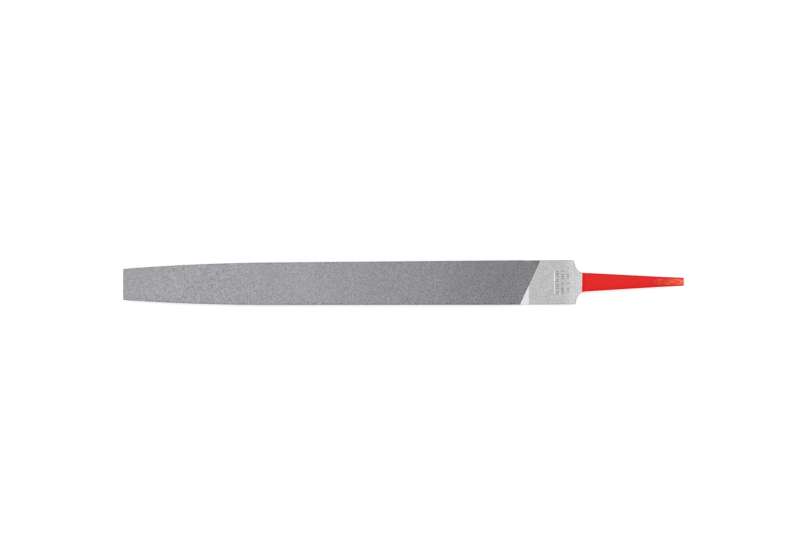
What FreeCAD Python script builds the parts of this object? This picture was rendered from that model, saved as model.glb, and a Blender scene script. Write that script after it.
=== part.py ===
"""Twelve-inch flat file with a bare tang: one forged steel blank and the lacquer on its tang.

The file lies on its lower face. +X runs from the point to the end of the tang, +Y runs across
the blade and +Z is up. The origin is at the centre of the file's box, on its underside.
Lengths are in millimetres, and a station is a distance along the file from its point.
The two faces are alike: the teeth of the lower one are those of the upper one turned half a
turn about the file's long axis, so they lean the same way whichever face is up.
"""
import FreeCAD
import Part
import math
import os

Vec = FreeCAD.Vector

# Stations along the file
GROUND_END = 274.3            # end of the faces ground for cutting, start of the bare heel
SHOULDER = 304.8              # nominal length of the file, 12 inches
SHOULDER_SKEW = 1.0           # how much nearer the tang the forged shoulder on the -Y side is
LACQUER_START = 310.6
TANG_ROOT = 313.5             # the tang's own taper begins
TANG_BREAK = 361.0            # that taper eases
TANG_END = 379.25
PARALLEL_START = 255.0        # from here to the shoulders the blade is parallel
WIDTH_BELLY = 101.4           # the curved taper in width ends
THICKNESS_BELLY = 110.0       # the curved taper in thickness ends

# Widths
BLADE_WIDTH = 30.0
BELLY_WIDTH = 28.8
POINT_WIDTH = 21.1
TANG_ROOT_WIDTH = 12.3
TANG_BREAK_WIDTH = 6.95
TANG_END_WIDTH = 5.25

# Thicknesses
THICKNESS = 7.1
POINT_THICKNESS = 5.0
TANG_ROOT_THICKNESS = 5.4
TANG_BREAK_THICKNESS = 3.7
TANG_END_THICKNESS = 2.6
LACQUER_THICKNESS = 0.15

# Shoulders and edges
SHOULDER_SLANT = 2.1          # how far each shoulder leans towards the tang
SHOULDER_FILLET = 7.0
HEEL_CHAMFER = 0.6            # fades out down the slope to the tang's root
TANG_CHAMFER = 0.7            # beyond the tang's break, growing from nothing at its root

# Teeth of the up-cut, the set that does the cutting
CUT_ANGLE = 65.0              # between a tooth and the file's long axis
CUT_END = 275.2               # station of the last tooth on the centreline
TOOTH_PITCH = 1.0             # square to the teeth
TOOTH_DEPTH = 0.4
TOOTH_CREST = 0.1             # flat left along the top of each tooth
TOOTH_LEAN = 0.1              # how far a tooth's front face leans back over its depth

# Stamped size marks: a long line, then rows of plain strokes read across the heel
MARK_DEPTH = 0.15
RULE_STATION = 291.7
RULE_WIDTH = 0.4
RULE_LENGTH = 15.4
STROKE_WIDTH = 0.5
STROKE_HEIGHT = 1.7           # along the file
STROKE_STEP = 1.15
STROKE_ROWS = [               # station of the row's middle, then 1 for a stroke and 0 for a gap
    (293.6, "11011101101111"),
    (297.2, "11110110011101"),
    (300.8, "01110010011100"),
]

OVERALL_LENGTH = TANG_END + LACQUER_THICKNESS
MARGIN = 2.0                  # how far a cutting tool reaches past what it cuts
X_AXIS = Vec(1, 0, 0)
Y_AXIS = Vec(0, 1, 0)
Z_AXIS = Vec(0, 0, 1)


def x_at(station):
    return station - OVERALL_LENGTH / 2


def in_plan(station, width):
    return Vec(x_at(station), width / 2, 0)


def in_side_view(station, thickness):
    return Vec(x_at(station), 0, thickness / 2)


def lines(*points):
    return [Part.LineSegment(a, b) for a, b in zip(points, points[1:])]


def tangent_arc(start, end, onward):
    """The arc from start to end that runs on into the straight line from end to onward."""
    back = (end - onward).normalize()
    chord = start - end
    across = chord - back * chord.dot(back)
    radius = chord.Length ** 2 / (2 * across.Length)
    across.normalize()
    half_turn = math.asin(chord.Length / (2 * radius))
    middle = end + back * radius * math.sin(half_turn)
    middle += across * radius * (1 - math.cos(half_turn))
    return Part.Arc(start, middle, end)


def rounded_corner(before, corner, after, radius):
    """A straight run, the arc that rounds the corner, and the straight run after it."""
    back = (before - corner).normalize()
    onward = (after - corner).normalize()
    half_angle = back.getAngle(onward) / 2
    reach = radius / math.tan(half_angle)
    bisector = (back + onward).normalize()
    middle = corner + bisector * radius * (1 / math.sin(half_angle) - 1)
    start = corner + back * reach
    end = corner + onward * reach
    return lines(before, start) + [Part.Arc(start, middle, end)] + lines(end, after)


def prism(one, other, through, depth):
    """The solid between two chains of curves that run the same way, centred on their plane."""
    ends = lines(one[0].StartPoint, other[0].StartPoint)
    ends += lines(one[-1].EndPoint, other[-1].EndPoint)
    edges = [curve.toShape() for curve in one + other + ends]
    face = Part.Face(Part.Wire(Part.__sortEdges__(edges)))
    face.translate(-through * depth / 2)
    return face.extrude(through * depth)


def blade_edge(side):
    point = in_plan(0, side * POINT_WIDTH)
    belly = in_plan(WIDTH_BELLY, side * BELLY_WIDTH)
    parallel = in_plan(PARALLEL_START, side * BLADE_WIDTH)
    end = in_plan(GROUND_END, side * BLADE_WIDTH)
    return [tangent_arc(point, belly, parallel)] + lines(belly, parallel, end)


def blade_profile(side):
    point = in_side_view(0, side * POINT_THICKNESS)
    belly = in_side_view(THICKNESS_BELLY, side * THICKNESS)
    end = in_side_view(GROUND_END, side * THICKNESS)
    return [tangent_arc(point, belly, end)] + lines(belly, end)


def blade():
    """The tapering part that carries the teeth, before it is cut."""
    from_above = prism(blade_edge(1), blade_edge(-1), Z_AXIS, 2 * THICKNESS)
    from_the_side = prism(blade_profile(1), blade_profile(-1), Y_AXIS, 2 * BLADE_WIDTH)
    return from_above.common(from_the_side)


def shoulder_edge(side, grow):
    shoulder = SHOULDER + grow
    if side < 0:
        shoulder += SHOULDER_SKEW
    blade_width = side * (BLADE_WIDTH + 2 * grow)
    tang_width = side * (TANG_ROOT_WIDTH + 2 * grow)
    start = in_plan(GROUND_END, blade_width)
    corner = in_plan(shoulder, blade_width)
    foot = in_plan(shoulder + SHOULDER_SLANT, tang_width)
    root = in_plan(TANG_ROOT, tang_width)
    return lines(start, corner) + rounded_corner(corner, foot, root, SHOULDER_FILLET - grow)


def shoulder_profile(side, grow):
    start = in_side_view(GROUND_END, side * (THICKNESS + 2 * grow))
    shoulder = in_side_view(SHOULDER, side * (THICKNESS + 2 * grow))
    root = in_side_view(TANG_ROOT, side * (TANG_ROOT_THICKNESS + 2 * grow))
    return lines(start, shoulder, root)


def heel(grow):
    """The bare heel with its shoulders, up to the tang's root, bigger all round by grow."""
    slab = prism(shoulder_edge(1, grow), shoulder_edge(-1, grow), Z_AXIS, THICKNESS + 2 * grow)
    rims = []
    for edge in slab.Edges:
        box = edge.BoundBox
        if box.ZLength < 0.01 and box.YMin * box.YMax > 0:
            rims.append(edge)
    slab = slab.makeChamfer(HEEL_CHAMFER, rims)
    upper = shoulder_profile(1, grow)
    lower = shoulder_profile(-1, grow)
    return slab.common(prism(upper, lower, Y_AXIS, 2 * BLADE_WIDTH))


def octagon(station, width, thickness, chamfer):
    """The corners of a chamfered rectangle across the file; with no chamfer they coincide."""
    half_width = width / 2
    half_height = thickness / 2
    quarter = [(half_width, half_height - chamfer), (half_width - chamfer, half_height)]
    ring = quarter + [(-y, z) for y, z in reversed(quarter)]
    ring += [(-y, -z) for y, z in ring]
    return [Vec(x_at(station), y, z) for y, z in ring]


def flat_face(corners):
    """The face through the corners, each coinciding pair counted once."""
    distinct = [c for i, c in enumerate(corners) if not c.isEqual(corners[i - 1], 1e-6)]
    return Part.Face(Part.makePolygon(distinct + distinct[:1]))


def tang(grow):
    """The tapering tang beyond its root, bigger all round by grow."""
    sections = [
        (TANG_ROOT, TANG_ROOT_WIDTH, TANG_ROOT_THICKNESS, 0.0),
        (TANG_BREAK, TANG_BREAK_WIDTH, TANG_BREAK_THICKNESS, TANG_CHAMFER),
        (TANG_END + grow, TANG_END_WIDTH, TANG_END_THICKNESS, TANG_CHAMFER),
    ]
    rings = []
    for station, width, thickness, chamfer in sections:
        rings.append(octagon(station, width + 2 * grow, thickness + 2 * grow, chamfer))
    faces = [flat_face(rings[0]), flat_face(rings[-1])]
    for ring, after in zip(rings, rings[1:]):
        for i in range(len(ring)):
            faces.append(flat_face([ring[i - 1], ring[i], after[i], after[i - 1]]))
    return Part.makeSolid(Part.makeShell(faces))


def tooth_gaps():
    """The gaps cut out of the upper face between one tooth of the up-cut and the next."""
    lean = math.radians(CUT_ANGLE)
    along = Vec(math.cos(lean), math.sin(lean), 0)
    across = Vec(math.sin(lean), -math.cos(lean), 0)
    width = TOOTH_PITCH - TOOTH_CREST
    section = [
        (0, MARGIN), (0, 0), (width - TOOTH_LEAN, -TOOTH_DEPTH), (width, 0), (width, MARGIN),
    ]
    drop = (THICKNESS - POINT_THICKNESS) / 2
    radius = (THICKNESS_BELLY ** 2 + drop ** 2) / (2 * drop)
    reach = BLADE_WIDTH / 2 / math.sin(lean) + MARGIN
    first = in_plan(0, POINT_WIDTH).dot(across)
    last = x_at(CUT_END) * across.x
    gaps = []
    for tooth in range(math.ceil((last - first) / TOOTH_PITCH)):
        x = (last - tooth * TOOTH_PITCH - width) / across.x
        run = max(0.0, x_at(THICKNESS_BELLY) - x)
        slope = run / math.sqrt(radius ** 2 - run ** 2)
        z = THICKNESS / 2 - radius + math.sqrt(radius ** 2 - run ** 2)
        points = []
        for u, height in section:
            spot = across * u - along * reach
            points.append(Vec(x + spot.x, spot.y, z + slope * spot.x + height))
        face = Part.Face(Part.makePolygon(points + points[:1]))
        gaps.append(face.extrude((along + Z_AXIS * slope * along.x) * 2 * reach))
    return gaps


def size_marks():
    """The shallow marks pressed into the upper face of the heel."""
    spots = [(RULE_STATION, 0.0, RULE_WIDTH, RULE_LENGTH)]
    for station, strokes in STROKE_ROWS:
        for place, stroke in enumerate(strokes):
            y = (place - (len(strokes) - 1) / 2) * STROKE_STEP
            if stroke == "1":
                spots.append((station, y, STROKE_HEIGHT, STROKE_WIDTH))
    marks = []
    for station, y, length, width in spots:
        corner = Vec(x_at(station) - length / 2, y - width / 2, THICKNESS / 2 - MARK_DEPTH)
        marks.append(Part.makeBox(length, width, MARGIN, corner))
    return marks


def turned_over(shapes):
    return [shape.rotated(Vec(), X_AXIS, 180) for shape in shapes]


def file_body():
    bar = blade().fuse([heel(0), tang(0)]).removeSplitter()
    gaps = tooth_gaps()
    return bar.cut(Part.makeCompound(gaps + turned_over(gaps) + size_marks()))


def tang_lacquer():
    coated = heel(LACQUER_THICKNESS).fuse(tang(LACQUER_THICKNESS))
    steel = heel(0).fuse(tang(0))
    bare = Part.makeBox(
        LACQUER_START - GROUND_END + MARGIN, 2 * BLADE_WIDTH, 2 * BLADE_WIDTH,
        Vec(x_at(GROUND_END) - MARGIN, -BLADE_WIDTH, -BLADE_WIDTH))
    return coated.cut([bare, steel]).removeSplitter()


os.makedirs("parts", exist_ok=True)
for name, shape in (("file_body", file_body()), ("tang_lacquer", tang_lacquer())):
    shape.translate(Z_AXIS * THICKNESS / 2)
    print(name, shape.isValid(), len(shape.Solids), len(shape.Faces), shape.Volume, shape.BoundBox)
    shape.exportStep("parts/" + name + ".step")
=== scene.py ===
"""A twelve-inch flat file lying on a pale floor, seen from straight above.

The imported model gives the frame: +X runs from the file's point to the end of its tang, +Y across
the blade and +Z up. Two pieces are made here. The steel takes the place of file_body and adds
what the frame leaves out: the second cut of teeth that crosses the first, the teeth on the narrow
edges, the ground strip beside the heel, and forged edges. The lacquer takes the place of
tang_lacquer. Sizes are in millimetres, and a station is a distance along the file from its point.
"""
import math

import bpy
import numpy as np
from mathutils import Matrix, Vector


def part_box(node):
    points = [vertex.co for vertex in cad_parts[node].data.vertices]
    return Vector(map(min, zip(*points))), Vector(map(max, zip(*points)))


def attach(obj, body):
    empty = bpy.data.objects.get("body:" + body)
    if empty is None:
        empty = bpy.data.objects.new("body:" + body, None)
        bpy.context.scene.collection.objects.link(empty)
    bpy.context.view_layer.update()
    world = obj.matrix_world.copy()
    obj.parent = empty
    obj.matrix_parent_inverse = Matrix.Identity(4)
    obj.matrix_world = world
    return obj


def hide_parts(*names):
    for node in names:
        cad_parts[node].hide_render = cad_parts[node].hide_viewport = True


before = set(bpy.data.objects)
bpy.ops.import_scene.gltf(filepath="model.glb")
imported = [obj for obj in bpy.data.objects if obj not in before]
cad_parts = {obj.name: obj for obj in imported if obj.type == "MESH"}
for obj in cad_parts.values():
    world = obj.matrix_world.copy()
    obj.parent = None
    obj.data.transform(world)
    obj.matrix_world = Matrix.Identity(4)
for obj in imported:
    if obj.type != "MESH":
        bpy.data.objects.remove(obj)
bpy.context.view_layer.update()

MM = 0.001
RNG = np.random.default_rng(12)

# ---------------------------------------------------------------- sizes, in millimetres
BODY_LOW, BODY_HIGH = (np.array(corner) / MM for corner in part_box("file_body"))
COAT_LOW, COAT_HIGH = (np.array(corner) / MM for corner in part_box("tang_lacquer"))
POINT_X = BODY_LOW[0]                     # where station 0 is
THICKNESS = BODY_HIGH[2] - BODY_LOW[2]
BLADE_WIDTH = BODY_HIGH[1] - BODY_LOW[1]
TANG_END = BODY_HIGH[0] - POINT_X
COAT_START = COAT_LOW[0] - POINT_X
COAT_THICKNESS = COAT_HIGH[0] - BODY_HIGH[0]

GROUND_END = 274.3
SHOULDER = 304.8
SHOULDER_SKEW = 1.0                       # how much nearer the tang's end the -Y shoulder is
SHOULDER_SLANT = 2.1                      # along the file, from the corner to the tang
SHOULDER_FILLET = 7.0
SHOULDER_ROUND = 0.4
TANG_ROOT = 313.5
TANG_BREAK = 361.0                        # where the tang's taper changes
PARALLEL_START = 255.0                    # the blade is at its full width from here on
WIDTH_BELLY = 101.4                       # where the width begins to curve in to the point
THICKNESS_BELLY = 110.0                   # and where the thickness does

POINT_WIDTH = 21.1
BELLY_WIDTH = 28.8
TANG_ROOT_WIDTH = 12.3
TANG_MIDDLE_WIDTH = 9.20235               # 20 mm before the break
TANG_BREAK_WIDTH = 6.95
TANG_END_WIDTH = 5.25

GRIND_DEPTH = 0.05                        # the cut faces lie this much below the heel
GRIND_RUN_OUT = 0.8                       # the length of that step
POINT_THICKNESS = 5.0
TANG_ROOT_THICKNESS = 5.4
TANG_BREAK_THICKNESS = 3.7
TANG_END_THICKNESS = 2.6

BLADE_EDGE = 0.14                         # radii of the long edges
HEEL_EDGE = 0.55
TANG_EDGE = 0.8
CORNER_STEPS = 3                          # flats round a quarter of a long edge
BELLY_STATIONS = 14                       # rings in the part where the width curves in

CUT_END = 275.2                           # station of the last tooth on the centreline
MARGIN = 2.0                              # how far the cutting prisms stand out of the faces
UV_SPLIT = 190.0                          # where the texture layout breaks the long blade in two


# ---------------------------------------------------------------- the forged bar
def round_corners(points, radii, step=math.radians(7)):
    """A polyline with each inner corner replaced by an arc of its radius."""
    out = [points[0]]
    for before, corner, after, radius in zip(points, points[1:], points[2:], radii):
        back = (before - corner) / np.linalg.norm(before - corner)
        onward = (after - corner) / np.linalg.norm(after - corner)
        half = math.acos(np.clip(back @ onward, -1, 1)) / 2
        if radius == 0:
            out.append(corner)
            continue
        bisector = (back + onward) / np.linalg.norm(back + onward)
        centre = corner + bisector * radius / math.sin(half)
        start = corner + back * radius / math.tan(half) - centre
        turn = math.pi - 2 * half
        if start[0] * onward[1] - start[1] * onward[0] < 0:
            turn = -turn
        for part in np.linspace(0, turn, max(3, round(abs(turn) / step))):
            c, s = math.cos(part), math.sin(part)
            out.append(centre + [c * start[0] - s * start[1], s * start[0] + c * start[1]])
    return np.array(out + [points[-1]])


def curved_taper(station, length, at_end, slope, at_point):
    """A half size that curves in from the end of the straight part to the point."""
    back = np.maximum(length - station, 0)
    curve = (at_end - slope * length - at_point) / length ** 2
    return at_end - slope * back - curve * back ** 2


def edge_half_width(station):
    """Half the blade's width: curved in to the point, then widening evenly, then parallel."""
    slope = (BLADE_WIDTH - BELLY_WIDTH) / 2 / (PARALLEL_START - WIDTH_BELLY)
    straight = np.minimum(BELLY_WIDTH / 2 + slope * (station - WIDTH_BELLY), BLADE_WIDTH / 2)
    curve = curved_taper(station, WIDTH_BELLY, BELLY_WIDTH / 2, slope, POINT_WIDTH / 2)
    return np.where(station < WIDTH_BELLY, curve, straight)


def face_half_height(station):
    """Half the blade's thickness between its two cut faces."""
    ground = THICKNESS / 2 - GRIND_DEPTH
    return curved_taper(station, THICKNESS_BELLY, ground, 0.0, POINT_THICKNESS / 2)


def outline(side):
    """One side of the bar seen from above, as stations and distances from the long axis."""
    blade = BLADE_WIDTH / 2
    root = TANG_ROOT_WIDTH / 2
    curved = np.linspace(0, WIDTH_BELLY, BELLY_STATIONS)
    stations = np.append(curved, [
        THICKNESS_BELLY, 150.0, UV_SPLIT, 220.0, PARALLEL_START,
        GROUND_END - GRIND_RUN_OUT, GROUND_END, GROUND_END + 2, SHOULDER - 3])
    taper = np.column_stack([stations, edge_half_width(stations)])
    shoulder = SHOULDER + (SHOULDER_SKEW if side < 0 else 0)
    shape = round_corners(
        np.array([
            (SHOULDER - 2, blade),
            (shoulder, blade),
            (shoulder + SHOULDER_SLANT, root),
            (TANG_ROOT + 1, root - 0.05),
        ]),
        [SHOULDER_ROUND, SHOULDER_FILLET])
    tang = [
        (TANG_BREAK - 20, TANG_MIDDLE_WIDTH / 2),
        (TANG_BREAK, TANG_BREAK_WIDTH / 2),
        (TANG_END, TANG_END_WIDTH / 2),
    ]
    return np.vstack([taper, shape, tang])


def half_thickness(station):
    """Half the bar's thickness, from the point to the tang's end."""
    rest = np.interp(
        station,
        [GROUND_END - GRIND_RUN_OUT, GROUND_END, SHOULDER, TANG_ROOT, TANG_BREAK, TANG_END],
        [THICKNESS / 2 - GRIND_DEPTH, THICKNESS / 2, THICKNESS / 2, TANG_ROOT_THICKNESS / 2,
         TANG_BREAK_THICKNESS / 2, TANG_END_THICKNESS / 2])
    return np.where(station < GROUND_END - GRIND_RUN_OUT, face_half_height(station), rest)


def edge_radius(station):
    """How far the bar's long edges are rounded."""
    return np.interp(
        station,
        [GROUND_END - GRIND_RUN_OUT, GROUND_END, SHOULDER, TANG_ROOT],
        [BLADE_EDGE, HEEL_EDGE, HEEL_EDGE, TANG_EDGE])


def outward(line):
    """Directions square to a polyline, lengthened at its corners so that an inset keeps even."""
    run = np.diff(line, axis=0)
    run /= np.linalg.norm(run, axis=1)[:, None]
    square = np.column_stack([-run[:, 1], run[:, 0]])
    before = np.vstack([square[:1], square])
    after = np.vstack([square, square[-1:]])
    both = before + after
    return both / (1 + (before * after).sum(axis=1))[:, None]


def rings(line_left, line_right, grow, radius):
    """Rings of points round the bar, one for each pair of outline points, left being +Y.

    grow moves the surface out; it is one number for each ring, as radius is."""
    out = []
    for quarter in range(4):
        line = line_left if quarter in (0, 3) else line_right
        side = 1 if quarter in (0, 3) else -1
        up = 1 if quarter < 2 else -1
        square = outward(line)
        angles = np.linspace(0, math.pi / 2, CORNER_STEPS + 1)
        if quarter in (1, 3):
            angles = angles[::-1]
        for angle in angles:
            inset = radius * (1 - math.cos(angle)) - grow * math.cos(angle)
            place = line - square * inset[:, None]
            drop = radius * (1 - math.sin(angle)) - grow * math.sin(angle)
            height = half_thickness(line[:, 0]) - drop
            out.append(np.column_stack([place[:, 0], side * place[:, 1], up * height]))
    return np.array(out).transpose(1, 0, 2)


def tube_faces(count, around, first=0, inside_out=False):
    """Quads between rings, as vertex numbers from first on."""
    faces = []
    for ring in range(count - 1):
        a = first + ring * around
        for i in range(around):
            j = (i + 1) % around
            quad = [a + i, a + j, a + j + around, a + i + around]
            faces.append(quad[::-1] if inside_out else quad)
    return faces


def to_frame(points):
    """Stations, distances from the axis and heights from mid-thickness, as metres in the frame."""
    return (np.asarray(points) + [POINT_X, 0, THICKNESS / 2]) * MM


def new_object(name, points, faces):
    """A mesh object from points as to_frame takes them."""
    mesh = bpy.data.meshes.new(name)
    mesh.from_pydata(to_frame(points).tolist(), [], faces)
    mesh.update()
    thing = bpy.data.objects.new(name, mesh)
    bpy.context.scene.collection.objects.link(thing)
    return thing


def forged_bar():
    """The bar before its teeth are cut, closed at both ends."""
    left, right = outline(1), outline(-1)
    station = left[:, 0]
    bar = rings(left, right, np.zeros(len(left)), edge_radius(station))
    count, around = bar.shape[:2]
    faces = tube_faces(count, around)
    faces.append(list(range(around))[::-1])
    faces.append(list(range((count - 1) * around, count * around)))
    return new_object("file_steel", bar.reshape(-1, 3), faces)


# ---------------------------------------------------------------- the teeth
def prisms(name, wedges):
    """One object of separate closed prisms, each given as its two end polygons."""
    points, faces = [], []
    for near, far in wedges:
        first, n = len(points), len(near)
        points += list(near) + list(far)
        faces.append([first + i for i in range(n)])
        faces.append([first + n + i for i in reversed(range(n))])
        for i in range(n):
            j = (i + 1) % n
            faces.append([first + i, first + i + n, first + j + n, first + j])
    return new_object(name, points, faces)


class Face:
    """One of the blade's four long faces, as a flat strip with its own height.

    place turns (station, across, height) on the strip into a point of the bar. The lower face is
    the upper one turned about the file's long axis, and so are the edges."""

    def __init__(self, turn, half_height, reach):
        self.turn = turn
        self.half_height = half_height
        self.reach = reach

    def slope(self, station):
        """How much the strip rises in one millimetre."""
        return float(self.half_height(station + 0.5) - self.half_height(station - 0.5))

    def place(self, station, across, height):
        c, s = round(math.cos(self.turn)), round(math.sin(self.turn))
        return [station, c * across - s * height, s * across + c * height]


UPPER = Face(0, face_half_height, BLADE_WIDTH / 2)
LOWER = Face(math.pi, face_half_height, BLADE_WIDTH / 2)
LEFT = Face(-math.pi / 2, edge_half_width, THICKNESS / 2)
RIGHT = Face(math.pi / 2, edge_half_width, THICKNESS / 2)


PITCH_SPREAD = (0.94, 1.06)
DEPTH_SPREAD = (0.88, 1.08)
SHORTEST_GAP = 1.0


def cut(face, angle, pitch, depth, crest, lean, end, stop=None):
    """The gaps of one cut of teeth on a face: a row of slanting prisms with uneven spacing.

    angle is from the long axis, in degrees, and end is the station of the last tooth on the
    face's centreline. crest is the width of a tooth's top, and lean that of its steep side.
    stop, if given, is the (angle, station) of a line that the gaps don't pass."""
    angle = math.radians(angle)
    along = np.array([math.cos(angle), math.sin(angle)])
    across = np.array([abs(along[1]), -along[0] * np.sign(along[1])])
    length = face.reach / abs(along[1]) + MARGIN
    gaps = []
    front = end * across[0]
    while front > -face.reach * abs(across[1]) - pitch:
        step = pitch * RNG.uniform(*PITCH_SPREAD)
        deep = depth * RNG.uniform(*DEPTH_SPREAD)
        width = step - crest
        station = (front - width) / across[0]
        slope = face.slope(station)
        level = float(face.half_height(station))
        section = [(0, MARGIN), (0, 0), (width - lean, -deep), (width, 0), (width, MARGIN)]
        low, high = -length, length
        if stop:
            stop_across = np.array([math.sin(stop[0]), -math.cos(stop[0])])
            reach_at_stop = (stop[1] - station) * stop_across[0] / (along @ stop_across)
            if along @ stop_across > 0:
                high = min(high, reach_at_stop)
            else:
                low = max(low, reach_at_stop)
        if high - low > SHORTEST_GAP:
            ends = []
            for run in (low, high) if along[1] > 0 else (high, low):
                polygon = []
                for u, height in section:
                    x, y = across * u + along * run
                    polygon.append(face.place(station + x, y, level + slope * x + height))
                ends.append(polygon)
            gaps.append(ends)
        front -= step
    return gaps


def carve(thing, tool):
    """Takes the tool away from the thing, for good."""
    modifier = thing.modifiers.new("carve", "BOOLEAN")
    modifier.operation = "DIFFERENCE"
    modifier.solver = "MANIFOLD"
    modifier.object = tool
    graph = bpy.context.evaluated_depsgraph_get()
    carved = bpy.data.meshes.new_from_object(thing.evaluated_get(graph))
    thing.modifiers.clear()
    whole = thing.data
    thing.data = carved
    bpy.data.meshes.remove(whole)
    spent = tool.data
    bpy.data.objects.remove(tool)
    bpy.data.meshes.remove(spent)


UP_CUT = dict(angle=65, pitch=1.0, depth=0.42, crest=0.08, lean=0.10, end=CUT_END)
OVER_CUT = dict(angle=-48, pitch=1.45, depth=0.26, crest=0.12, lean=0.10, end=CUT_END + 14)
EDGE_CUT = dict(angle=62, pitch=1.05, depth=0.22, crest=0.15, lean=0.06, end=GROUND_END - 4)
OVER_CUT_STOP = (math.radians(UP_CUT["angle"]), CUT_END - 0.6)

# Pressed marks: a long line, then rows of plain strokes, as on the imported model
MARK_DEPTH = 0.16
MARK_SPREAD = (0.7, 1.1)                  # of that depth
MARK_FLOOR, MARK_TOP = -0.12, 0.72        # what its sloping sides add to a mark, low and high
RULE = (291.7, 0.0, 0.4, 15.4)            # station, distance from the axis, length and width
STROKE_SIZE = (1.7, 0.5)
STROKE_STEP = 1.15
STROKE_ROWS = {293.6: "11011101101111", 297.2: "11110110011101", 300.8: "01110010011100"}


def marks():
    """The pressed marks as prisms with sloping sides, a little unevenly struck."""
    spots = [RULE]
    for station, strokes in STROKE_ROWS.items():
        for place, stroke in enumerate(strokes):
            y = (place - (len(strokes) - 1) / 2) * STROKE_STEP
            if stroke == "1":
                spots.append((station, y, *STROKE_SIZE))
    wedges = []
    for station, y, length, width in spots:
        deep = MARK_DEPTH * RNG.uniform(*MARK_SPREAD)
        ends = []
        for height, spread in ((MARGIN, MARK_TOP), (-deep, MARK_FLOOR)):
            x = length / 2 + spread
            across = width / 2 + spread
            corners = [(-x, -across), (x, -across), (x, across), (-x, across)]
            ends.append([(station + u, y + v, THICKNESS / 2 + height) for u, v in corners])
        wedges.append(ends)
    return wedges


def toothed_steel():
    """The bar with its teeth and marks cut into it."""
    bar = forged_bar()
    for name, options in (("up_cut", UP_CUT), ("over_cut", {**OVER_CUT, "stop": OVER_CUT_STOP})):
        carve(bar, prisms(name, cut(UPPER, **options) + cut(LOWER, **options)))
    carve(bar, prisms("edge_cut", cut(LEFT, **EDGE_CUT) + cut(RIGHT, **EDGE_CUT)))
    carve(bar, prisms("marks", marks()))
    return bar


# ---------------------------------------------------------------- the lacquer
COAT_STATIONS = 60                        # rings along the tang past the edge of the film
EDGE_STATIONS = 14                        # rings in the first millimetres, closer at the edge
EDGE_LENGTH = 3.0
COAT_RISE = 0.25                          # the film has its full thickness this far in
COAT_LEAST = 0.15                         # and this share of it at the very edge
COAT_BEAD = 0.08                          # how much thicker the film is along its edge
BEAD_PLACE, BEAD_WIDTH = 0.6, 0.45        # how far in that is, and how wide
COAT_LOSS = 0.25                          # the share of the film that is missing near the end
LOSS_LENGTH = 6.0
COAT_WAVES = 0.012                        # unevenness of the film
EDGE_WOBBLE = 0.08                        # how far the film's edge strays from a straight line
WOBBLE_TURN, WOBBLE_REACH = 2.4, 1.5      # its angle from point to point, and how far it goes
COAT_GAP = 0.01                           # between the film's inner side and the steel
TIP_SHRINK = (1, 0.8, 0.7)                # the film's rounding over the tang's end


def coat_outline(side):
    """The tang's outline from the edge of the lacquer on."""
    line = outline(side)
    first = np.linspace(0, 1, EDGE_STATIONS) ** 1.6 * EDGE_LENGTH
    rest = np.linspace(EDGE_LENGTH, TANG_END - COAT_START, COAT_STATIONS)[1:]
    stations = COAT_START + np.concatenate([first, rest])
    start = np.argmax(line[:, 0] > SHOULDER + SHOULDER_SKEW + SHOULDER_SLANT)
    return np.column_stack([stations, np.interp(stations, line[start:, 0], line[start:, 1])])


def film_thickness(station):
    """The film along the tang: a bead by its edge, and less of it near the end."""
    behind = station - COAT_START
    even = COAT_THICKNESS * np.clip(behind / COAT_RISE, COAT_LEAST, 1) ** 0.5
    bead = COAT_BEAD * np.exp(-((behind - BEAD_PLACE) / BEAD_WIDTH) ** 2)
    loss = COAT_LOSS * COAT_THICKNESS * np.clip((station - TANG_BREAK) / LOSS_LENGTH, 0, 1)
    return even + bead - loss


def lacquer_film():
    """The film as a closed shell: an outer skin, an inner one against the steel, and two rims."""
    left, right = coat_outline(1), coat_outline(-1)
    station = left[:, 0]
    count = len(station)
    radius = edge_radius(station)
    outer = rings(left, right, film_thickness(station), radius)
    around = outer.shape[1]
    waves = RNG.normal(0, COAT_WAVES, (count, around))
    for _ in range(3):
        waves = (np.roll(waves, 1, 1) + waves + np.roll(waves, -1, 1)) / 3
    outer[:, :, 2] += np.sign(outer[:, :, 2]) * waves
    inner = rings(left, right, np.full(count, COAT_GAP), radius)
    fading = np.exp((COAT_START - station) / WOBBLE_REACH)[:, None]
    wobble = EDGE_WOBBLE * np.sin(np.arange(around) * WOBBLE_TURN) * fading
    outer[:, :, 0] += wobble
    inner[:, :, 0] += wobble
    end = outer[-1].copy()
    end[:, 0] = TANG_END + COAT_THICKNESS * 0.6
    tip = outer[-1] * TIP_SHRINK
    tip[:, 0] = TANG_END + COAT_THICKNESS
    points = np.vstack([outer.reshape(-1, 3), end, tip, inner.reshape(-1, 3)])
    faces = tube_faces(count + 2, around)
    second = (count + 2) * around
    faces += tube_faces(count, around, second, inside_out=True)
    faces.append(list(range((count + 1) * around, second)))
    faces.append(list(range(second + (count - 1) * around, second + count * around))[::-1])
    for i in range(around):
        j = (i + 1) % around
        faces.append([i, second + i, second + j, j])
    film_object = new_object("lacquer_film", points, faces)
    for polygon in film_object.data.polygons:
        polygon.use_smooth = True
    return film_object


# ---------------------------------------------------------------- the layout of the textures
UV_LEAN = 0.3                             # how far steep walls spread sideways in the layout
UV_EDGE = 10.0                            # room past the break, for faces that cross it
UV_TURN = SHOULDER - 8                    # from here on the shoulders slope the other way
UV_STRIPS = {"upper": 0.172, "lower": 0.172, "left": 0.058, "right": 0.058}


def from_frame(items, what):
    """Points of the mesh as stations, distances from the axis and heights from mid-thickness."""
    points = np.empty(len(items) * 3)
    items.foreach_get(what, points)
    return points.reshape(-1, 3) / MM - [POINT_X, 0, THICKNESS / 2]


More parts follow.
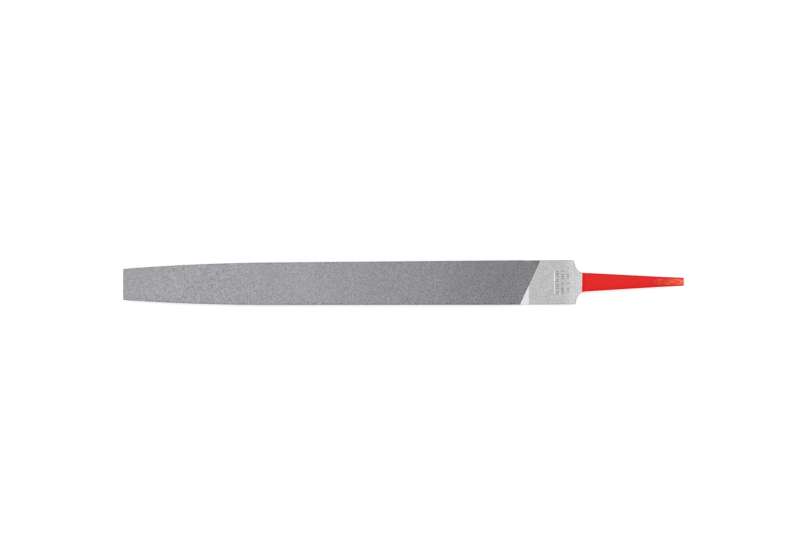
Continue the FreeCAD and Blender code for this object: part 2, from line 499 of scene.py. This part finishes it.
def lay_out(thing):
    """Lays the long piece out for a texture: its four long faces, each broken in two strips.

    Every face is seen a little from one side, so that the steep walls of the teeth have room."""
    mesh = thing.data
    station, y, z = from_frame(mesh.polygons, "center").T
    half_width = np.interp(station, *outline(1).T)
    on_side = half_width - np.abs(y) < half_thickness(station) - np.abs(z)
    sides = {
        "upper": ~on_side & (z >= 0), "lower": ~on_side & (z < 0),
        "left": on_side & (y >= 0), "right": on_side & (y < 0)}
    counts = np.empty(len(mesh.polygons), int)
    mesh.polygons.foreach_get("loop_total", counts)
    loops = np.empty(len(mesh.loops), int)
    mesh.loops.foreach_get("vertex_index", loops)
    owner = np.repeat(np.arange(len(counts)), counts)
    at = from_frame(mesh.vertices, "co")[loops]
    late = station[owner] > UV_SPLIT
    lean = np.where(station[owner] > UV_TURN, -UV_LEAN, UV_LEAN)
    scale = 1 / (TANG_END - UV_SPLIT + 2 * UV_EDGE)
    uv = np.zeros((len(loops), 2))
    base = 0.0
    for name, strip in UV_STRIPS.items():
        here = sides[name][owner]
        side = -1 if name in ("lower", "right") else 1
        if name in ("upper", "lower"):
            across, out = at[:, 1], side * at[:, 2] - THICKNESS / 2
        else:
            across, out = at[:, 2], side * at[:, 1] - BLADE_WIDTH / 2
        along = at[:, 0] + lean * out - np.where(late, UV_SPLIT, 0) + UV_EDGE
        middle = base + strip / 2 + np.where(late, strip, 0)
        uv[here, 0] = np.clip(along[here] * scale, 0.001, 0.999)
        uv[here, 1] = middle[here] + (across + UV_LEAN * out)[here] * scale
        base += 2 * strip
    layer = mesh.uv_layers.new(name="OFBake")
    layer.data.foreach_set("uv", uv.ravel())


# ---------------------------------------------------------------- materials
# Brightness along a part of the file, as (share of the length, level); along the cut it is painted
# shade, darker towards the heel
CUT_PAINTED_SHADE_LEVELS = [(0.0, 0.412), (0.34, 0.412), (0.42, 0.38), (0.55, 0.355), (0.64, 0.308),
              (0.73, 0.303)]
HEEL_LEVELS = [(0.0, 0.515), (0.6, 0.515), (0.85, 0.68), (1.0, 0.80)]
CUT_TINT = (1.0, 0.995, 1.045)
GROUND_LEVEL = 0.45
# painted shadow: the dark floor of the pressed strokes
STROKE_SHADOW_LEVEL = 0.12
RULE_LEVEL = 1.0
EDGE_PAINTED_SHADE = 0.45                         # painted shade: how bright the cut edges are beside the cut faces
EDGE_STRIP = 0.55                         # how much of each face belongs to the edge and its painted shade

LACQUER_RED = (0.72, 0.003, 0.003)
# painted shade: the red where the lacquer turns away from straight up, and along the crease
LACQUER_PAINTED_SHADE = (0.52, 0.003, 0.003)
LACQUER_THIN = [(0.3, (0.50, 0.032, 0.018)), (0.55, (0.66, 0.062, 0.036)),
                (0.8, (0.74, 0.155, 0.08))]
THIN_START = (TANG_BREAK - 2.2, TANG_BREAK + 0.8)   # metal begins to show through the lacquer
THIN_EDGES = (1.7 * MM, 2.4 * MM)         # and stops between these distances from the axis
THIN_METAL = 0.55                         # how metallic the thin lacquer looks
CREASE_SHADE = TANG_BREAK - 0.6                   # a line of painted shade where the flat changes its slope
CREASE_SHADE_WIDTH = 0.7
FLAT = (0.90, 0.985)                      # upward parts of the normal, from edge to flat, over which the painted shade fades out

GRAIN = (0.3, 0.7)                        # the range that most noise lies in


class Pattern:
    """A metal or lacquer whose colour, roughness and relief come from patterns in its own space."""

    def __init__(self, name, metallic, specular=0.5):
        self.material = bpy.data.materials.new(name)
        self.material.use_nodes = True
        self.tree = self.material.node_tree
        self.shader = self.tree.nodes["Principled BSDF"]
        self.shader.inputs["Metallic"].default_value = metallic
        self.shader.inputs["Specular IOR Level"].default_value = specular
        self.place = self.tree.nodes.new("ShaderNodeTexCoord").outputs["Object"]

    def put(self, socket, value):
        """Sets a socket to a value, or links it to another socket."""
        if isinstance(value, bpy.types.NodeSocket):
            self.tree.links.new(value, socket)
        else:
            socket.default_value = value

    def node(self, kind, inputs, **settings):
        """A new node with its inputs, by number or name, set or linked."""
        made = self.tree.nodes.new(kind)
        for name, value in settings.items():
            setattr(made, name, value)
        for key, value in inputs.items():
            self.put(made.inputs[key], value)
        return made

    def noise(self, size, detail=2.0, stretch=(1, 1, 1), roughness=0.5):
        """Noise whose grains are about size millimetres across, before the stretch."""
        scaled = self.node("ShaderNodeVectorMath", {0: self.place, 1: [1 / k for k in stretch]},
                           operation="MULTIPLY")
        return self.node("ShaderNodeTexNoise", {
            "Vector": scaled.outputs[0], "Scale": 1 / (size * MM), "Detail": detail,
            "Roughness": roughness}).outputs["Fac"]

    def spread(self, value, low, high, to_low=0.0, to_high=1.0):
        """The value's range low to high moved to another range, and held inside it."""
        limits = {0: value, 1: low, 2: high, 3: to_low, 4: to_high}
        return self.node("ShaderNodeMapRange", limits).outputs[0]

    def maths(self, operation, a, b=0.0):
        return self.node("ShaderNodeMath", {0: a, 1: b}, operation=operation).outputs[0]

    def axis(self, vector, number):
        return self.node("ShaderNodeSeparateXYZ", {0: vector}).outputs[number]

    def ramp(self, value, stops):
        """A colour from a value, through (value, colour) stops."""
        made = self.node("ShaderNodeValToRGB", {"Fac": value})
        band = made.color_ramp
        ends = band.elements[0], band.elements[1]
        for element, (place, colour) in zip(ends, (stops[0], stops[-1])):
            element.position = place
            element.color = (*colour, 1)
        for place, colour in stops[1:-1]:
            band.elements.new(place).color = (*colour, 1)
        return made.outputs[0]

    def between(self, value, low, high, limits=GRAIN):
        """A colour that goes from low to high between two limits of the value."""
        return self.ramp(value, list(zip(limits, (low, high))))

    def mix(self, kind, amount, a, b):
        """Two colours mixed. A ShaderNodeMix has its colour sockets at these numbers."""
        return self.node("ShaderNodeMix", {0: amount, 6: a, 7: b}, data_type="RGBA",
                         blend_type=kind).outputs[2]

    def station(self):
        """Distance from the point in millimetres."""
        x = self.axis(self.place, 0)
        return self.maths("SUBTRACT", self.maths("DIVIDE", x, MM), POINT_X)

    def finish(self, colour, roughness, height=None, depth=0.0):
        """Connects the patterns to the shader. depth is the height's relief in millimetres."""
        self.put(self.shader.inputs["Base Color"], colour)
        self.put(self.shader.inputs["Roughness"], roughness)
        if height is not None:
            bump = self.node("ShaderNodeBump", {
                "Height": height, "Distance": depth * MM, "Strength": 1.0})
            self.put(self.shader.inputs["Normal"], bump.outputs[0])
        return self.material


def grey(level, tint=(1, 1, 1)):
    """A grey of this level, or a tint made darker by it."""
    return tuple(level * t for t in tint)


def cut_steel(name, shade):
    """Steel under the teeth, with painted shade that makes it a little darker towards the heel."""
    p = Pattern(name, 1.0)
    along = p.spread(p.station(), 0, TANG_END)
    # shade below 1 darkens the whole colour, which is painted shade on the cut edges
    body = p.ramp(along, [(place, grey(shade * level, CUT_TINT)) for place, level in CUT_PAINTED_SHADE_LEVELS])
    grain = p.spread(p.noise(1.0), 0.32, 0.68, 0.74, 1.26)
    scatter = p.spread(p.noise(2.6), *GRAIN, 0.97, 1.03)
    speckle = p.maths("MULTIPLY", grain, scatter)
    speckles = p.node("ShaderNodeCombineColor", {0: speckle, 1: speckle, 2: speckle}).outputs[0]
    colour = p.mix("MULTIPLY", 1.0, body, speckles)
    return p.finish(colour, p.spread(p.noise(1.4), *GRAIN, 0.42, 0.56), p.noise(0.25), 0.02)


def ground_steel():
    """The bright strip beside the heel, with fine lines across the file."""
    p = Pattern("ground_steel", 1.0)
    lines = p.noise(0.5, 3.0, stretch=(1, 14, 1))
    colour = p.between(lines, grey(GROUND_LEVEL * 0.93), grey(GROUND_LEVEL))
    return p.finish(colour, 0.32, lines, 0.012)


def heel_steel():
    """The bare heel, blasted, and brighter towards the tang."""
    p = Pattern("heel_steel", 1.0)
    along = p.spread(p.station(), GROUND_END, TANG_ROOT)
    body = p.ramp(along, [(place, grey(level)) for place, level in HEEL_LEVELS])
    blast = p.noise(1.0, 3.0, roughness=0.6)
    cloud = p.noise(4.0)
    shade = p.between(blast, grey(0.64), grey(0.96), limits=(0.34, 0.66))
    patch = p.between(cloud, grey(0.94), grey(1.0))
    colour = p.mix("MULTIPLY", 1.0, p.mix("MULTIPLY", 1.0, body, shade), patch)
    return p.finish(colour, p.spread(cloud, *GRAIN, 0.46, 0.56), blast, 0.03)


def marked_steel(name, level):
    """The floor of a pressed mark at a given level; for the strokes that dark level is painted
    shadow.
    """
    p = Pattern(name, 1.0)
    colour = p.between(p.noise(0.4), grey(level * 0.85), grey(level))
    return p.finish(colour, 0.5)


def red_lacquer():
    """Red lacquer with painted shade on its rounded edges and along the crease where the flat
    changes its slope, with metal showing through the flat near the end.
    """
    p = Pattern("red_lacquer", 0.0, specular=0.17)
    station = p.station()
    body = p.between(p.noise(6.0), LACQUER_RED, grey(0.94, LACQUER_RED))
    # Painted shade on the rounded edges: the lacquer is darker where its surface turns away from
    # straight up
    facing_up = p.axis(p.node("ShaderNodeTexCoord", {}).outputs["Normal"], 2)
    flat = p.spread(facing_up, *FLAT)
    whole = p.mix("MIX", flat, (*LACQUER_PAINTED_SHADE, 1), body)
    # Painted shade along the crease where the tang's flat changes its slope
    from_crease = p.maths("ABSOLUTE", p.maths("SUBTRACT", station, CREASE_SHADE))
    whole = p.mix("MIX", p.spread(from_crease, 0, CREASE_SHADE_WIDTH), (*LACQUER_PAINTED_SHADE, 1), whole)

    # The thin patch starts along a ragged line and leaves the long edges out
    ragged = p.maths("ADD", station, p.spread(p.noise(3.5, 3.0), *GRAIN, -1.6, 1.6))
    sideways = p.maths("ABSOLUTE", p.axis(p.place, 1))
    thin = p.maths("MULTIPLY", flat, p.spread(ragged, *THIN_START))
    thin = p.maths("MULTIPLY", thin, p.spread(sideways, *THIN_EDGES, 1.0, 0.0))
    worn = p.maths("ADD", p.spread(station, TANG_BREAK, TANG_END, -0.16, 0.2),
                   p.noise(1.6, stretch=(2.2, 1, 1)))
    colour = p.mix("MIX", thin, whole, p.ramp(worn, LACQUER_THIN))
    p.put(p.shader.inputs["Metallic"], p.maths("MULTIPLY", thin, THIN_METAL))
    return p.finish(colour, p.spread(thin, 0, 1, 0.30, 0.36), p.noise(1.1), 0.02)


CUT, GROUND, HEEL, STROKE, EDGE, RULED = range(6)   # the finishes, in the order of their slots
PAST_CUT = 0.05                           # how far past its last line the cut's finish goes
END_FACE = 0.02                           # faces nearer the point than this are its end
MARKED = (RULE[0] - 1, SHOULDER - 2)      # stations that hold the marks,
MARKED_WIDTH = 9.0                        # their distance from the axis
MARKED_DEPTHS = (0.02, 0.2)               # and their depth below the heel


def finish_steel(thing):
    """Gives each face of the steel the finish of its place on the bar, painted shade on the cut
    edges and the strokes included.
    """
    thing.data.materials.clear()
    for material in (cut_steel("cut_steel", 1.0), ground_steel(), heel_steel(),
                     marked_steel("stroke_shadow_steel", STROKE_SHADOW_LEVEL),
                     cut_steel("edge_painted_shade_steel", EDGE_PAINTED_SHADE), marked_steel("rule_steel", RULE_LEVEL)):
        thing.data.materials.append(material)
    station, y, z = from_frame(thing.data.polygons, "center").T
    angle = math.radians(UP_CUT["angle"])
    past_cut = (station - CUT_END) * math.sin(angle) - y * np.sign(z) * math.cos(angle)
    on_side = np.interp(station, *outline(1).T) - np.abs(y) < EDGE_STRIP
    toothed = np.where(on_side, station < EDGE_CUT["end"], past_cut < PAST_CUT)
    pressed = np.abs(y) < MARKED_WIDTH
    for value, (low, high) in ((station, MARKED), (THICKNESS / 2 - z, MARKED_DEPTHS)):
        pressed &= (value > low) & (value < high)

    kind = np.full(len(station), HEEL)
    kind[station < GROUND_END] = GROUND
    kind[toothed & (station < GROUND_END + 8)] = CUT
    # the strokes' dark floor is painted shadow
    kind[pressed] = STROKE
    kind[pressed & (station < RULE[0] + 0.8)] = RULED
    # the cut edges take the darker steel, which is painted shade
    kind[(kind == CUT) & on_side] = EDGE
    kind[station < END_FACE] = HEEL
    thing.data.polygons.foreach_set("material_index", kind)


# ---------------------------------------------------------------- the object
steel = toothed_steel()
finish_steel(steel)
lay_out(steel)
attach(steel, "root")
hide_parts("file_body")

film = lacquer_film()
film.data.materials.append(red_lacquer())
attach(film, "root")
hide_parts("tang_lacquer")


# ---------------------------------------------------------------- floor, light and camera
FLOOR_DROP = 0.05                         # keeps the floor clear of the heel, which lies on it
FLOOR_GLOW = 0.33                         # whitens the floor as the photograph's background is
WORLD_LIGHT = 0.84
SOFTBOX_SIZE = (2.4, 1.8)
SOFTBOX_POWER = 17.0
SOFTBOX_PLACE = (-0.3, 0.35, 2.3)
SOFTBOX_TURN = (-0.15, -0.13, 0)
CAMERA_HEIGHT = 2.0
CAMERA_PLACE = (-0.0024, 0.0021)
CAMERA_TURN = math.radians(-0.28)         # the file lies a little askew in the picture
VIEW_WIDTH = 0.54064                      # metres across the picture at the file's upper face
SENSOR_WIDTH = 36.0

pale = bpy.data.materials.new("pale_floor")
pale.use_nodes = True
pale_inputs = pale.node_tree.nodes["Principled BSDF"].inputs
pale_inputs["Base Color"].default_value = (0.9, 0.9, 0.9, 1)
pale_inputs["Roughness"].default_value = 0.9
pale_inputs["Specular IOR Level"].default_value = 0.0
pale_inputs["Emission Color"].default_value = (1, 1, 1, 1)
pale_inputs["Emission Strength"].default_value = FLOOR_GLOW

bpy.ops.mesh.primitive_plane_add(size=6.0)
floor = bpy.context.active_object
floor.name = "floor"
floor.location.z = -FLOOR_DROP * MM
floor.data.materials.append(pale)

scene = bpy.context.scene
scene.view_settings.view_transform = "Standard"
world = bpy.data.worlds.new("studio")
world.use_nodes = True
background = world.node_tree.nodes["Background"].inputs
background["Color"].default_value = (1.0, 1.0, 1.0, 1)
background["Strength"].default_value = WORLD_LIGHT
scene.world = world

softbox = bpy.data.lights.new("softbox", "AREA")
softbox.shape = "RECTANGLE"
softbox.size, softbox.size_y = SOFTBOX_SIZE
softbox.energy = SOFTBOX_POWER
lamp = bpy.data.objects.new("softbox", softbox)
lamp.location = SOFTBOX_PLACE
lamp.rotation_euler = SOFTBOX_TURN
scene.collection.objects.link(lamp)

eye = bpy.data.cameras.new("eye")
eye.sensor_width = SENSOR_WIDTH
eye.lens = SENSOR_WIDTH * (CAMERA_HEIGHT - THICKNESS * MM) / VIEW_WIDTH
camera = bpy.data.objects.new("eye", eye)
camera.location = (*CAMERA_PLACE, CAMERA_HEIGHT)
camera.rotation_euler = (0, 0, CAMERA_TURN)
scene.collection.objects.link(camera)
scene.camera = camera
